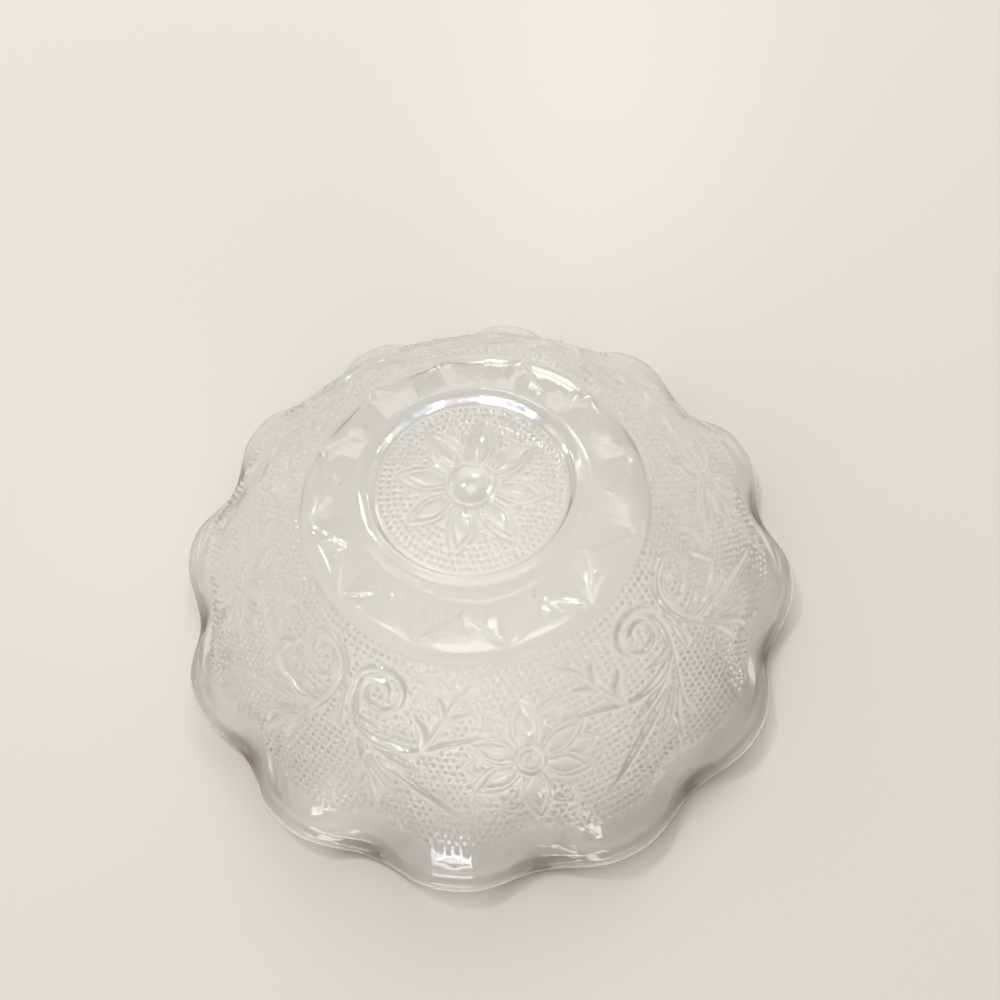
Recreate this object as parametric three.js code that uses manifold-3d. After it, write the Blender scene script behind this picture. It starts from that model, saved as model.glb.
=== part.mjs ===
// A clear pressed glass bowl with a crimped rim, turned over: rim down on z = 0, foot up, axis along +Z.
// It is one pressing: the foot ring, the star collar and the flower relief are raised in the same glass.
import * as THREE from 'three';
import { mergeVertices } from 'three/addons/utils/BufferGeometryUtils.js';
import Module from 'manifold-3d';

const wasm = await Module();
wasm.setup();

// Bowl, in millimetres
const bowlRadius = 63.5; // axis to the outermost point of a lobe
const bowlHeight = 39.7; // table to the top of the foot ring
const wallThickness = 2.8;
const wallBulge = 0.7; // how far the wall swells past a straight cone
const baseThickness = 4.8; // floor of the medallion to the inside of the bowl

// Crimped rim
const lobeCount = 12;
const crimpSpread = 1.45; // a lobe moves this far out, a notch this far in
const crimpRise = 1.6; // a lobe lifts this far, a notch drops this far
const crimpReach = 13; // height up the wall over which the crimps fade out
const notchSharpness = 1.25; // above 1, the notches are narrower than the lobes

// Foot ring, and the medallion inside it
const footRadius = 20.3;
const footRingWidth = 2;
const footRecess = 1.5; // foot ring to the floor of the medallion
const footFlank = 2.2; // width of the slope outside the foot ring
const recessSlope = 0.7; // width of the slope inside the foot ring
const bossRadius = 4.6;
const bossHeight = 1.1;
const medallionPetals = 8;
const medallionPetalLength = 8.6;
const medallionPetalWidth = 4.8;

// Star collar, a raised plateau between the foot and the wall
const starPoints = 12;
const starTipRadius = 30;
const starNotchRadius = 24.4;
const starRise = 1.1;
const collarDrop = 2.9; // foot ring to the collar beside it
const collarSlope = 0.11; // fall of the collar for each millimetre outwards

// Shoulder, where the collar turns down into the wall
const shoulderRadius = 32.5; // where the two lines would meet
const shoulderRound = 3.6; // length that the rounding takes from each line

// Relief: ridges of glass, drawn on the wall by places that are millimetres round from a centre line
// and millimetres down the slant from the shoulder
const reliefHeight = 0.7;
const reliefRoot = 0.6; // depth to which a ridge is sunk in the glass under it
const leafTip = 0.2; // width of a leaf at its ends, as a share of its middle
const stemTip = 0.6; // the same for a stem
const ornamentTurn = 1.6; // degrees that the ornament is turned against the crimps
const repeats = 4; // flowers, with a pair of scrolls between each two

// Flower
const flowerSlant = 21.5;
const flowerPetals = 6;
const petalLength = 8.2;
const petalWidth = 4.4;
const eyeRadius = 2;
const eyeRidge = 1.3; // width of the ring round the eye

// Pair of scrolls, back to back
const scrollSlant = 11.6;
const scrollRadius = 5.1;
const scrollOffset = 6.9; // centre line of the pair to the eye of a scroll
const scrollTurns = 1.4;
const scrollShrink = 0.75; // share of the radius that the scroll winds in
const stemWidth = 1.7;
const stemRoute = [[23, 16.5], [16, 19.5], [9.5, 20.2], [4, 17.4]]; // from a flower to the foot of a scroll
const leafWidth = 2.4;
const leafRoutes = [ // leaves beside a scroll
  [[5.6, 21.6], [11, 22.2], [16.8, 25]],
  [[3.6, 22.4], [8.4, 26], [11.4, 32]],
  [[16.6, 18.2], [16.8, 13], [14.6, 7.8]],
  [[16.8, 14], [18, 10], [21, 6.4]],
];
const dropSlant = 18.6; // teardrop between the two scrolls
const dropLength = 4.4;

// Fineness of the round forms
const stepsPerLobe = 8;
const bodySteps = lobeCount * stepsPerLobe;
const wallRows = 3;
const rimCrowding = 0.7; // under 1, the rows of the wall stand closer near the rim
const stemSteps = 18;
const leafSteps = 3;
const spiralPoints = 12;

// Angle of the first star tip and flower: over a notch of the rim, apart from the ornament's small turn
const turned = Math.PI / lobeCount + THREE.MathUtils.degToRad(ornamentTurn);

// Lines of the outside, as points of radius and height
const point = (radius, height) => new THREE.Vector2(radius, height);
const lipRadius = wallThickness / 2;
const lip = point(bowlRadius - crimpSpread - lipRadius, lipRadius + crimpRise);
const recessFloor = bowlHeight - footRecess;
const collarStart = point(footRadius + footFlank, bowlHeight - collarDrop);
const collarAt = (radius) => point(radius, collarStart.y - collarSlope * (radius - collarStart.x));
const shoulder = collarAt(shoulderRadius);
const down = lip.clone().sub(shoulder).normalize();
const out = point(-down.y, down.x);
const wallStart = shoulder.clone().addScaledVector(down, shoulderRound);
const wallEnd = lip.clone().addScaledVector(out, lipRadius);
const wallControl = wallStart.clone().lerp(wallEnd, 0.5).addScaledVector(out, 2 * wallBulge);
const collarEnd = collarAt(shoulderRadius - shoulderRound);
const shoulderCurve = new THREE.QuadraticBezierCurve(collarEnd, shoulder, wallStart);
const wallCurve = new THREE.QuadraticBezierCurve(wallStart, wallControl, wallEnd);
const slantLine = new THREE.CurvePath();
slantLine.add(shoulderCurve);
slantLine.add(wallCurve);

// Lines of the inside: along the wall, then round into a flat floor
const inset = (p) => p.clone().addScaledVector(out, -wallThickness);
const insideFloor = recessFloor - baseThickness;
const insideStart = inset(wallStart);
const insideCorner = insideStart.clone().addScaledVector(down, (insideFloor - insideStart.y) / down.y);
const insideRound = insideCorner.distanceTo(insideStart);
const insideEnd = point(insideCorner.x - insideRound, insideFloor);
const insideCurve = new THREE.QuadraticBezierCurve(insideStart, inset(wallControl), inset(wallEnd));
const insideTurn = new THREE.QuadraticBezierCurve(insideStart, insideCorner, insideEnd);

// Makes a closed geometry a solid that can be joined and cut
function solid(geometry) {
  geometry.deleteAttribute('normal');
  geometry.deleteAttribute('uv');
  const merged = mergeVertices(geometry, 1e-4);
  return new wasm.Manifold(new wasm.Mesh({
    numProp: 3,
    vertProperties: new Float32Array(merged.attributes.position.array),
    triVerts: new Uint32Array(merged.index.array),
  }));
}

// Turns an outline of radius and height, read counter-clockwise, round the axis
function revolve(outline, steps) {
  return solid(new THREE.LatheGeometry(outline, steps).rotateX(Math.PI / 2));
}

// Points along a line of the wall, closer together near the rim, where it is crimped
function rowsTowardsRim(curve) {
  const row = (i) => curve.getPoint(Math.pow((i + 1) / wallRows, rimCrowding));
  return Array.from({ length: wallRows }, (_, i) => row(i));
}

// The plain bowl, before its rim is crimped
function plainBowl() {
  const lowest = -Math.PI / 2;
  const outerLip = new THREE.Path().absarc(lip.x, lip.y, lipRadius, out.angle(), lowest, true);
  const innerLip = new THREE.Path().absarc(lip.x, lip.y, lipRadius, lowest, out.angle() - Math.PI, true);
  const section = [
    point(0, recessFloor),
    point(footRadius - footRingWidth - recessSlope, recessFloor),
    point(footRadius - footRingWidth, bowlHeight),
    point(footRadius, bowlHeight),
    collarStart,
    ...shoulderCurve.getPoints(3),
    ...rowsTowardsRim(wallCurve),
    ...outerLip.getPoints(2).slice(1),
    ...innerLip.getPoints(2).slice(1),
    ...rowsTowardsRim(insideCurve).reverse().slice(1),
    ...insideTurn.getPoints(2),
    point(0, insideFloor),
  ];
  return revolve(section.reverse(), bodySteps);
}

// The raised layer over the collar, cut to a star by an upright prism
function starCollar() {
  const from = collarAt(footRadius - footRingWidth / 2);
  const to = collarAt(starTipRadius + starRise);
  const rise = point(0, starRise);
  const low = from.clone().sub(rise);
  const layer = revolve([low, to.clone().sub(rise), to.add(rise), from.add(rise), low], 2 * starPoints);
  const corners = Array.from({ length: 2 * starPoints }, (_, i) => {
    const radius = i % 2 ? starNotchRadius : starTipRadius;
    const angle = turned + i * Math.PI / starPoints;
    return point(radius * Math.cos(angle), radius * Math.sin(angle));
  });
  const upright = { depth: bowlHeight, bevelEnabled: false };
  const prism = new THREE.ExtrudeGeometry(new THREE.Shape(corners), upright);
  return layer.intersect(solid(prism));
}

// A place over the floor of the medallion, x round and y out from the axis along an angle
function overFloor(angle, x, y, lift) {
  const aim = new THREE.Vector2(y, x).rotateAround(new THREE.Vector2(), angle);
  return new THREE.Vector3(aim.x, aim.y, recessFloor + lift);
}

// A place over the wall, x round from an angle and y down the slant
function overWall(angle, x, y, lift) {
  const way = y / slantLine.getLength();
  const spot = slantLine.getPointAt(way);
  const heading = slantLine.getTangentAt(way);
  const turn = angle + x / spot.x;
  const radius = spot.x - heading.y * lift;
  return new THREE.Vector3(radius * Math.cos(turn), radius * Math.sin(turn), spot.y + heading.x * lift);
}

// A ridge of glass along a line drawn on a surface: a three-sided bar with its crest up and its root sunk
function ridge(over, angle, line, width, steps, swell) {
  const curve = new THREE.SplineCurve(line.map(([x, y]) => point(x, y)));
  const corners = [];
  const faces = [];
  for (let i = 0; i <= steps; i++) {
    const spot = curve.getPointAt(i / steps);
    const side = curve.getTangentAt(i / steps).rotateAround(point(0, 0), Math.PI / 2);
    const crest = reliefHeight * Math.min(1, 2 * swell(i / steps));
    const half = width / 2 * swell(i / steps) * (1 + reliefRoot / crest);
    corners.push(over(angle, spot.x + side.x * half, spot.y + side.y * half, -reliefRoot));
    corners.push(over(angle, spot.x - side.x * half, spot.y - side.y * half, -reliefRoot));
    corners.push(over(angle, spot.x, spot.y, crest));
  }
  for (let i = 0; i < 3 * steps; i++) {
    const next = i % 3 === 2 ? i - 2 : i + 1;
    faces.push(i, next, next + 3, i, next + 3, i + 3);
  }
  faces.push(0, 2, 1, 3 * steps, 3 * steps + 1, 3 * steps + 2);
  return solid(new THREE.BufferGeometry().setFromPoints(corners).setIndex(faces));
}

// How a leaf and a stem change in width from end to end
const leafSwell = (way) => leafTip + (1 - leafTip) * Math.sin(Math.PI * way);
const stemSwell = (way) => stemTip + (1 - stemTip) * Math.sin(Math.PI * way);

// Repeats a piece of ornament evenly round the axis
function around(count, make, offset = 0) {
  return Array.from({ length: count }, (_, i) => make(turned + (i + offset) * 2 * Math.PI / count)).flat();
}

// The boss and the large flower on the floor of the foot
function medallion() {
  const dome = new THREE.EllipseCurve(0, recessFloor, bossRadius, bossHeight, 0, Math.PI / 2).getPoints(4);
  const root = recessFloor - reliefRoot;
  const boss = revolve([point(0, root), point(bossRadius, root), ...dome], 2 * medallionPetals);
  const start = bossRadius + reliefHeight;
  const line = [[0, start], [0, start + medallionPetalLength]];
  const petal = (angle) => ridge(overFloor, angle, line, medallionPetalWidth, leafSteps, leafSwell);
  return [boss, ...around(medallionPetals, petal, 0.5)];
}

// A flower on the wall: petals round a ring
function flower(angle) {
  const petals = Array.from({ length: flowerPetals }, (_, i) => {
    const aim = Math.PI / 2 + i * 2 * Math.PI / flowerPetals;
    const reach = (far) => [far * Math.cos(aim), flowerSlant + far * Math.sin(aim)];
    const start = eyeRadius + eyeRidge / 2;
    const line = [reach(start), reach(start + petalLength)];
    return ridge(overWall, angle, line, petalWidth, leafSteps, leafSwell);
  });
  const middle = overWall(angle, 0, flowerSlant, 0);
  const outward = overWall(angle, 0, flowerSlant, 1).sub(middle);
  const half = eyeRidge / 2 * (1 + reliefRoot / reliefHeight);
  const low = point(eyeRadius - half, -reliefRoot);
  const outline = [low, point(eyeRadius + half, -reliefRoot), point(eyeRadius, reliefHeight), low];
  const ring = new THREE.LatheGeometry(outline, 2 * flowerPetals);
  ring.applyQuaternion(new THREE.Quaternion().setFromUnitVectors(new THREE.Vector3(0, 1, 0), outward));
  ring.translate(middle.x, middle.y, middle.z);
  return [solid(ring), ...petals];
}

// Two scrolls back to back, each on a stem from the nearest flower, with their leaves and a drop between them
function scrollPair(angle) {
  const spiral = Array.from({ length: spiralPoints }, (_, i) => {
    const way = i / (spiralPoints - 1);
    const aim = Math.PI + way * scrollTurns * 2 * Math.PI;
    const radius = scrollRadius * (1 - scrollShrink * way);
    return [scrollOffset + radius * Math.cos(aim), scrollSlant + radius * Math.sin(aim)];
  });
  const half = (side) => {
    const mirror = (line) => line.map(([x, y]) => [side * x, y]);
    const stem = ridge(overWall, angle, mirror([...stemRoute, ...spiral]), stemWidth, stemSteps, stemSwell);
    const leaf = (line) => ridge(overWall, angle, mirror(line), leafWidth, leafSteps, leafSwell);
    return [stem, ...leafRoutes.map(leaf)];
  };
  const dropLine = [[0, dropSlant - dropLength / 2], [0, dropSlant + dropLength / 2]];
  const drop = ridge(overWall, angle, dropLine, leafWidth, leafSteps, leafSwell);
  return [drop, ...half(1), ...half(-1)];
}

// Pushes the rim out and up at each lobe, and in and down at each notch between two lobes
function crimp(geometry) {
  const position = geometry.attributes.position;
  for (let i = 0; i < position.count; i++) {
    const spot = new THREE.Vector3().fromBufferAttribute(position, i);
    const near = 1 - THREE.MathUtils.smoothstep(spot.z, lip.y, lip.y + crimpReach);
    const angle = Math.atan2(spot.y, spot.x);
    const notch = Math.pow(Math.sin(angle * lobeCount / 2) ** 2, notchSharpness);
    const swing = near * (1 - 2 * notch);
    const radius = Math.hypot(spot.x, spot.y) + swing * crimpSpread;
    position.setXYZ(i, radius * Math.cos(angle), radius * Math.sin(angle), spot.z + swing * crimpRise);
  }
  return geometry;
}

// All the glass in one pressing, then the crimping of its soft rim
const ornament = [
  starCollar(),
  ...medallion(),
  ...around(repeats, flower),
  ...around(repeats, scrollPair, 0.5),
];
const pressing = ornament.reduce((glass, raised) => glass.add(raised), plainBowl()).getMesh();
const shape = new THREE.BufferGeometry();
shape.setAttribute('position', new THREE.BufferAttribute(pressing.vertProperties, 3));
shape.setIndex(new THREE.BufferAttribute(pressing.triVerts, 1));

const clearGlass = new THREE.MeshStandardMaterial({ color: 0xeef0ec, roughness: 0.05, metalness: 0 });
const bowl = new THREE.Mesh(crimp(shape), clearGlass);
bowl.name = 'bowl';

const part = new THREE.Group();
part.add(bowl);
export default part;
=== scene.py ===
# %% [markdown]
# # A pressed glass bowl, lying rim down
# The object is a small clear bowl. It was pressed in one stroke in an iron mould, and its rim was crimped
# while the glass was soft. It lies turned over, so its foot and the pattern on its outside look up at us.
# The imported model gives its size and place. All that is seen is made here, in the same frame, in metres.

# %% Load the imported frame
import math

import bpy
import numpy as np
from mathutils import Matrix, Vector


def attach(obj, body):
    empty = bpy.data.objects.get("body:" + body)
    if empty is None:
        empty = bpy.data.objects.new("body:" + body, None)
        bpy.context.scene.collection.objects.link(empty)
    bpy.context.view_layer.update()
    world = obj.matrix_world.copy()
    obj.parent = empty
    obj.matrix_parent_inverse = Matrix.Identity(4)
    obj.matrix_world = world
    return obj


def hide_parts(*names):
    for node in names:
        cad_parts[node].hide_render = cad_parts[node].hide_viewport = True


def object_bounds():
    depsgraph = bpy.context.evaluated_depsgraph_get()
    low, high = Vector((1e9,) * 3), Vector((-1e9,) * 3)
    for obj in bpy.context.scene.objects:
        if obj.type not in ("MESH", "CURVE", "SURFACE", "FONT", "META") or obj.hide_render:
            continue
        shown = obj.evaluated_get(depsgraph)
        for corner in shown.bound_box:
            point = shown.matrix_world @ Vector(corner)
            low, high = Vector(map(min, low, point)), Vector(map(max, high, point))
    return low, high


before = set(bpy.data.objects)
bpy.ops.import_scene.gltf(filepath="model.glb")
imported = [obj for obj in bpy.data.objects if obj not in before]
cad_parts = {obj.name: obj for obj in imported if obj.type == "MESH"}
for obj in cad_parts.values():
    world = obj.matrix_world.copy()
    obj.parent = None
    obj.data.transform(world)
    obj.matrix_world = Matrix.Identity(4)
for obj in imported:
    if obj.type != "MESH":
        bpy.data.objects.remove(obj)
cad_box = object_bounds()
MM = 0.001
print("packed box in mm:", [[round(x / MM, 2) for x in corner] for corner in cad_box])

# %% [markdown]
# ## The section
# A pressed bowl is round before it is crimped, so half of its section says almost everything about it.
# We could draw the section as a Bezier curve and spin it, but the pattern needs a mesh whose fineness we
# choose ourselves. So the section is a list of points: radius and height in millimetres, from the middle of
# the foot out over the collar, the shoulder and the wall to the lip, and back along the inside.

# %% Lines of the section
def bend(start, corner, end, steps):
    """A smooth bend that leaves start and reaches end, both heading for the corner."""
    t = np.linspace(0, 1, steps + 1)[:, None]
    return (1 - t) ** 2 * start + 2 * t * (1 - t) * corner + t ** 2 * end


def softened(corners, reaches, steps=8):
    """A line of straight runs whose corners are rounded, each by the reach given for it."""
    corners = np.array(corners, float)
    line = [corners[:1]]
    for before, corner, after, reach in zip(corners, corners[1:], corners[2:], reaches):
        back = (before - corner) / np.linalg.norm(before - corner)
        ahead = (after - corner) / np.linalg.norm(after - corner)
        line.append(bend(corner + reach * back, corner, corner + reach * ahead, steps))
    return np.vstack([*line, corners[-1:]])


def evenly(line, step):
    """Points along a line, about one step apart, with both of its ends."""
    along = np.r_[0, np.cumsum(np.hypot(*np.diff(line, axis=0).T))]
    places = np.linspace(0, along[-1], max(1, round(along[-1] / step)) + 1)
    return np.stack([np.interp(places, along, line[:, i]) for i in range(2)], 1)


RECESS = 38.2        # floor of the medallion inside the foot ring
FOOT_TOP = 39.7
FOOT_RING = (18.3, 20.3)
COLLAR_START = np.array([22.5, 36.8])
COLLAR_SLOPE = 0.11
SHOULDER = np.array([32.5, 35.7])
SHOULDER_ROUND = 3.6
LIP = np.array([60.63, 3.0])
LIP_RADIUS = 1.4
WALL_BULGE = 0.7
INSIDE_FLOOR = 33.4
SHOULDER_STEPS, WALL_STEPS = 40, 300   # steps in the two bends of the outside


def collar_height(radius):
    return COLLAR_START[1] - COLLAR_SLOPE * (radius - COLLAR_START[0])


down = (LIP - SHOULDER) / np.linalg.norm(LIP - SHOULDER)
out = np.array([-down[1], down[0]])
collar_end = SHOULDER[0] - SHOULDER_ROUND
shoulder_start = np.array([collar_end, collar_height(collar_end)])
wall_start = SHOULDER + SHOULDER_ROUND * down
wall_end = LIP + LIP_RADIUS * out
wall_control = (wall_start + wall_end) / 2 + 2 * WALL_BULGE * out
slant_line = np.vstack([
    bend(shoulder_start, SHOULDER, wall_start, SHOULDER_STEPS),
    bend(wall_start, wall_control, wall_end, WALL_STEPS)[1:],
])
slant_along = np.r_[0, np.cumsum(np.hypot(*np.diff(slant_line, axis=0).T))]
print(f"slant line: {slant_along[-1]:.1f} mm from the collar to the lip")

# %% [markdown]
# ## The plain pressing
# The outside carries beads a millimetre across, the inside is smooth. One even grid would be too coarse for
# the first or too heavy for the second. So the mesh is built ring by ring, and each stretch of the section
# has its own number of columns. Where the number doubles or halves, triangles join the two rings, and the
# mesh stays closed.

# %% Lines that the stretches are cut from
FINE = 0.2           # distance between rings under the pattern
PATTERN_END = 39.5   # slant at which the stippled ground has ended
LIP_POINTS = 19
INSIDE_STEPS = 200   # steps in the bend of the inside wall
COLLAR_FIRST = 23.6  # radius of the collar's first ring
FOOT_LINE = [        # from the floor of the medallion over the foot ring to the collar
    (16.8, RECESS), (17.6, RECESS), (FOOT_RING[0], FOOT_TOP), (FOOT_RING[1], FOOT_TOP),
    COLLAR_START, (23.4, 36.7),
]
FOOT_ROUNDING = [0.5, 0.45, 0.5, 0.6]   # one for each corner of that line


def slant_part(first, last, step):
    """The slant line between two lengths along it."""
    places = np.linspace(first, last, max(1, round((last - first) / step)) + 1)
    return np.stack([np.interp(places, slant_along, slant_line[:, i]) for i in range(2)], 1)


def level_line(start, end, height, step):
    """A level line between two radii, cut into steps."""
    return evenly(np.array([[start, height], [end, height]]), step)


lip_start = math.atan2(out[1], out[0])
lip_angles = np.linspace(lip_start, lip_start - math.pi, LIP_POINTS)
lip_arc = LIP + LIP_RADIUS * np.stack([np.cos(lip_angles), np.sin(lip_angles)], 1)
inset = -2 * LIP_RADIUS * out
inside_start = wall_start + inset
inside_corner = inside_start + down * (INSIDE_FLOOR - inside_start[1]) / down[1]
inside_end = np.array([inside_corner[0] - np.linalg.norm(inside_corner - inside_start), INSIDE_FLOOR])
foot = softened(FOOT_LINE, FOOT_ROUNDING)
collar = np.array([[COLLAR_FIRST, collar_height(COLLAR_FIRST)], shoulder_start])
inside_wall = bend(wall_end, wall_control, wall_start, INSIDE_STEPS) + inset
inside_bend = bend(inside_start, inside_corner, inside_end, SHOULDER_STEPS)
print(f"foot line of {len(foot)} points, lip of {len(lip_arc)}")

# %% Stretches of the section, each with its columns
AXIS_COLUMNS = 90    # a stretch has 1, 2, 4, 8 or 16 times as many
PATTERNED, TO_THE_LIP = 8, 9   # how many stretches may carry pattern, and how many lie above the lip
stretches = [
    (level_line(0.2, 2.2, RECESS, FINE), 1),
    (level_line(2.4, 4.4, RECESS, FINE), 2),
    (level_line(4.6, 8.8, RECESS, FINE), 4),
    (level_line(9.0, 16.6, RECESS, FINE), 8),
    (evenly(foot, 0.22), 8),
    (evenly(collar, FINE), 8),
    (slant_part(FINE, 2.8, FINE), 8),
    (slant_part(3.0, PATTERN_END, FINE), 16),
    (slant_part(PATTERN_END + 0.3, slant_along[-1] - 0.3, 0.35), 8),
    (lip_arc, 4),
    (evenly(inside_wall, 0.8)[1:], 4),
    (evenly(inside_bend, 0.5)[1:], 4),
    (level_line(inside_end[0] - 0.8, 14, INSIDE_FLOOR, 1.0), 2),
    (level_line(13, 1, INSIDE_FLOOR, 1.0), 1),
]
rings = np.vstack([line for line, _ in stretches])
columns = np.concatenate([np.full(len(line), AXIS_COLUMNS * times) for line, times in stretches])


def points_in(count):
    """How many points the first stretches have."""
    return int(columns[: sum(len(line) for line, _ in stretches[:count])].sum())


print(f"{len(rings)} rings, {columns.sum()} points, {points_in(PATTERNED)} of them under the pattern")

# %% Build the closed mesh from its rings
def join_rings(first, count, next_first, next_count):
    """Triangles between two rings of points whose columns are equal, or in the ratio of one to two."""
    fewer = min(count, next_count)
    j = np.arange(fewer)
    k = (j + 1) % fewer
    if count == next_count:
        a, b, c, d = first + j, next_first + j, next_first + k, first + k
        return np.vstack([np.stack([a, b, c], 1), np.stack([a, c, d], 1)])
    if next_count == 2 * count:
        a, d = first + j, first + k
        b, m, c = next_first + 2 * j, next_first + 2 * j + 1, next_first + 2 * k
        return np.vstack([np.stack([a, b, m], 1), np.stack([a, m, d], 1), np.stack([d, m, c], 1)])
    a, m, d = first + 2 * j, first + 2 * j + 1, first + 2 * k
    b, c = next_first + j, next_first + k
    return np.vstack([np.stack([a, b, m], 1), np.stack([m, b, c], 1), np.stack([m, c, d], 1)])


def ring_angles():
    return np.concatenate([2 * math.pi * np.arange(count) / count for count in columns])


def triangles_of_rings():
    starts = np.r_[0, np.cumsum(columns)]
    top, bottom = starts[-1], starts[-1] + 1
    n = columns[0]
    j = np.arange(n)
    parts = [np.stack([np.full(n, top), j, (j + 1) % n], 1)]
    for i in range(len(rings) - 1):
        parts.append(join_rings(starts[i], columns[i], starts[i + 1], columns[i + 1]))
    n, last = columns[-1], starts[-2]
    j = np.arange(n)
    parts.append(np.stack([last + j, np.full(n, bottom), last + (j + 1) % n], 1))
    return np.vstack(parts)


radius = np.repeat(rings[:, 0], columns)
height = np.repeat(rings[:, 1], columns)
heading = np.gradient(rings, axis=0)
heading /= np.linalg.norm(heading, axis=1)[:, None]
push = np.repeat(np.stack([-heading[:, 1], heading[:, 0]], 1), columns, axis=0)
angle = ring_angles()
triangles = triangles_of_rings()
print(f"{len(triangles)} triangles before anything is pressed into them")

# %% [markdown]
# ## The star collar and the boss
# Round the foot lies a flat star of twelve points, raised by a millimetre, and in the middle of the foot a
# small domed boss with a ring. Both follow a short rule of angle and radius, so the rule moves the points
# directly. Pressed glass has no sharp edges: each step is a soft one.

# %% Raise the star and the boss
STAR_POINTS = 12
STAR_TIP, STAR_NOTCH = 30.0, 24.4
STAR_RISE = 1.1
STAR_EDGE = 1.1      # width of the step round the star
STAR_BLEND = 0.12    # rounding at the foot of that step
STAR_SPAN = (20.6, 32)   # radii between which it lies
ORNAMENT_TURN = math.radians(16.6)
BOSS = (3.7, 1.1)    # radius and height of the dome
BOSS_FULLNESS = 0.8  # below 1 its sides are steeper
BOSS_SPAN = 8        # nothing of it lies beyond this radius
BOSS_RING = (4.4, 0.55, 0.5)   # radius, half its width, height


def soft_step(x):
    x = np.clip(x, 0, 1)
    return x * x * (3 - 2 * x)


def soft_max(a, b, reach):
    return np.maximum(a, b) + np.maximum(reach - np.abs(a - b), 0) ** 2 / (4 * reach)


def inside_star(radius, angle):
    """How far a place lies inside the star's straight edges, in millimetres."""
    pitch = 2 * math.pi / STAR_POINTS
    off = np.abs((angle - ORNAMENT_TURN + pitch / 2) % pitch - pitch / 2)
    tip = np.array([STAR_TIP, 0.0])
    notch = STAR_NOTCH * np.array([math.cos(pitch / 2), math.sin(pitch / 2)])
    edge = (notch - tip) / np.linalg.norm(notch - tip)
    across = np.array([edge[1], -edge[0]])
    return across @ tip - radius * (across[0] * np.cos(off) + across[1] * np.sin(off))


outside_count = points_in(PATTERNED)
outside = np.arange(len(radius)) < outside_count
on_collar = outside & (radius > STAR_SPAN[0]) & (radius < STAR_SPAN[1])
step = np.clip(inside_star(radius, angle) / STAR_EDGE + 0.5, 0, 1)
raised = collar_height(radius) - STAR_RISE + 2 * STAR_RISE * step
height = np.where(on_collar, soft_max(height, raised, STAR_BLEND), height)
on_floor = outside & (radius < BOSS_SPAN)
dome = BOSS[1] * np.clip(1 - (radius / BOSS[0]) ** 2, 0, None) ** BOSS_FULLNESS
ring = BOSS_RING[2] * np.clip(1 - ((radius - BOSS_RING[0]) / BOSS_RING[1]) ** 2, 0, None)
height = np.where(on_floor, height + np.maximum(dome, ring), height)
print(f"star raised on {int((step[on_collar] > 0.5).sum())} points")

# %% [markdown]
# ## Scoops at the notches, and the rolled lip
# The rim was crimped with a tool that pushed the soft glass in between the lobes. Each push left a shallow
# scoop with an arched upper edge. It is a rule again: how far a place lies below the arch says how deep the
# scoop is there. The lip was melted in a flame, and drew together into a bead with a faint trough above it.

# %% Press a scoop into each notch and a trough above the lip
LOBES = 12
SCOOP_TOP = 40.0     # slant of the top of the arch
SCOOP_DEPTH = 0.45
SCOOP_ARCH = 0.1     # how fast the arch falls away to its sides
SCOOP_EDGE = 1.7     # width of the step at the arch
SCOOP_END, SCOOP_FADE = 43.6, 2.6   # slant from which the scoop fades, and the length it takes
TROUGH_ABOVE_LIP, TROUGH_WIDTH, TROUGH_DEPTH = 2.0, 1.0, 0.35
on_wall_side = (np.arange(len(radius)) < points_in(TO_THE_LIP)) & (radius > shoulder_start[0])
slant = np.interp(radius, slant_line[:, 0], slant_along)
lobe_angle = 2 * math.pi / LOBES
from_notch = ((angle % lobe_angle) - lobe_angle / 2) * radius
below_arch = slant - SCOOP_TOP - SCOOP_ARCH * from_notch ** 2
still_there = 1 - soft_step((slant - SCOOP_END) / SCOOP_FADE)
scoop = SCOOP_DEPTH * soft_step(below_arch / SCOOP_EDGE) * still_there
trough = TROUGH_DEPTH * np.exp(-((slant - slant_along[-1] + TROUGH_ABOVE_LIP) / TROUGH_WIDTH) ** 2)
pressed = np.where(on_wall_side, scoop + trough, 0)
radius = radius - push[:, 0] * pressed
height = height - push[:, 1] * pressed
print(f"scoops up to {scoop.max():.2f} mm deep, trough {trough.max():.2f} mm")

# %% Make the plain pressing a mesh object
def into_scene(name, data):
    """A new object for a mesh, a camera or a lamp."""
    made = bpy.data.objects.new(name, data)
    bpy.context.scene.collection.objects.link(made)
    return made


def mesh_object(name, points, faces=None, **attributes):
    """An object from points in millimetres, with numbers or vectors stored on the points."""
    mesh = bpy.data.meshes.new(name)
    mesh.vertices.add(len(points))
    mesh.vertices.foreach_set("co", (np.asarray(points) * MM).astype(np.float32).ravel())
    if faces is not None:
        mesh.loops.add(faces.size)
        mesh.polygons.add(len(faces))
        mesh.polygons.foreach_set("loop_start", np.arange(0, faces.size, 3, dtype=np.int32))
        mesh.loops.foreach_set("vertex_index", faces.astype(np.int32).ravel())
        mesh.update(calc_edges=True)
    for key, values in attributes.items():
        kind, field = ("FLOAT", "value") if np.ndim(values) == 1 else ("FLOAT_VECTOR", "vector")
        layer = mesh.attributes.new(key, kind, "POINT")
        layer.data.foreach_set(field, np.asarray(values, np.float32).ravel())
    return into_scene(name, mesh)


def around(radius, height, angle):
    return np.stack([radius * np.cos(angle), radius * np.sin(angle), height], -1)


points = np.vstack([
    around(radius, height, angle),
    [[0, 0, RECESS + BOSS[1]], [0, 0, INSIDE_FLOOR]],
])
pushes = np.vstack([around(push[:, 0], push[:, 1], angle), [[0, 0, 1], [0, 0, -1]]])
pushes[outside_count:] = 0
bowl = mesh_object("bowl_glass", points, triangles, push=pushes)
print("plain pressing:", len(bowl.data.vertices), "points")

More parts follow.
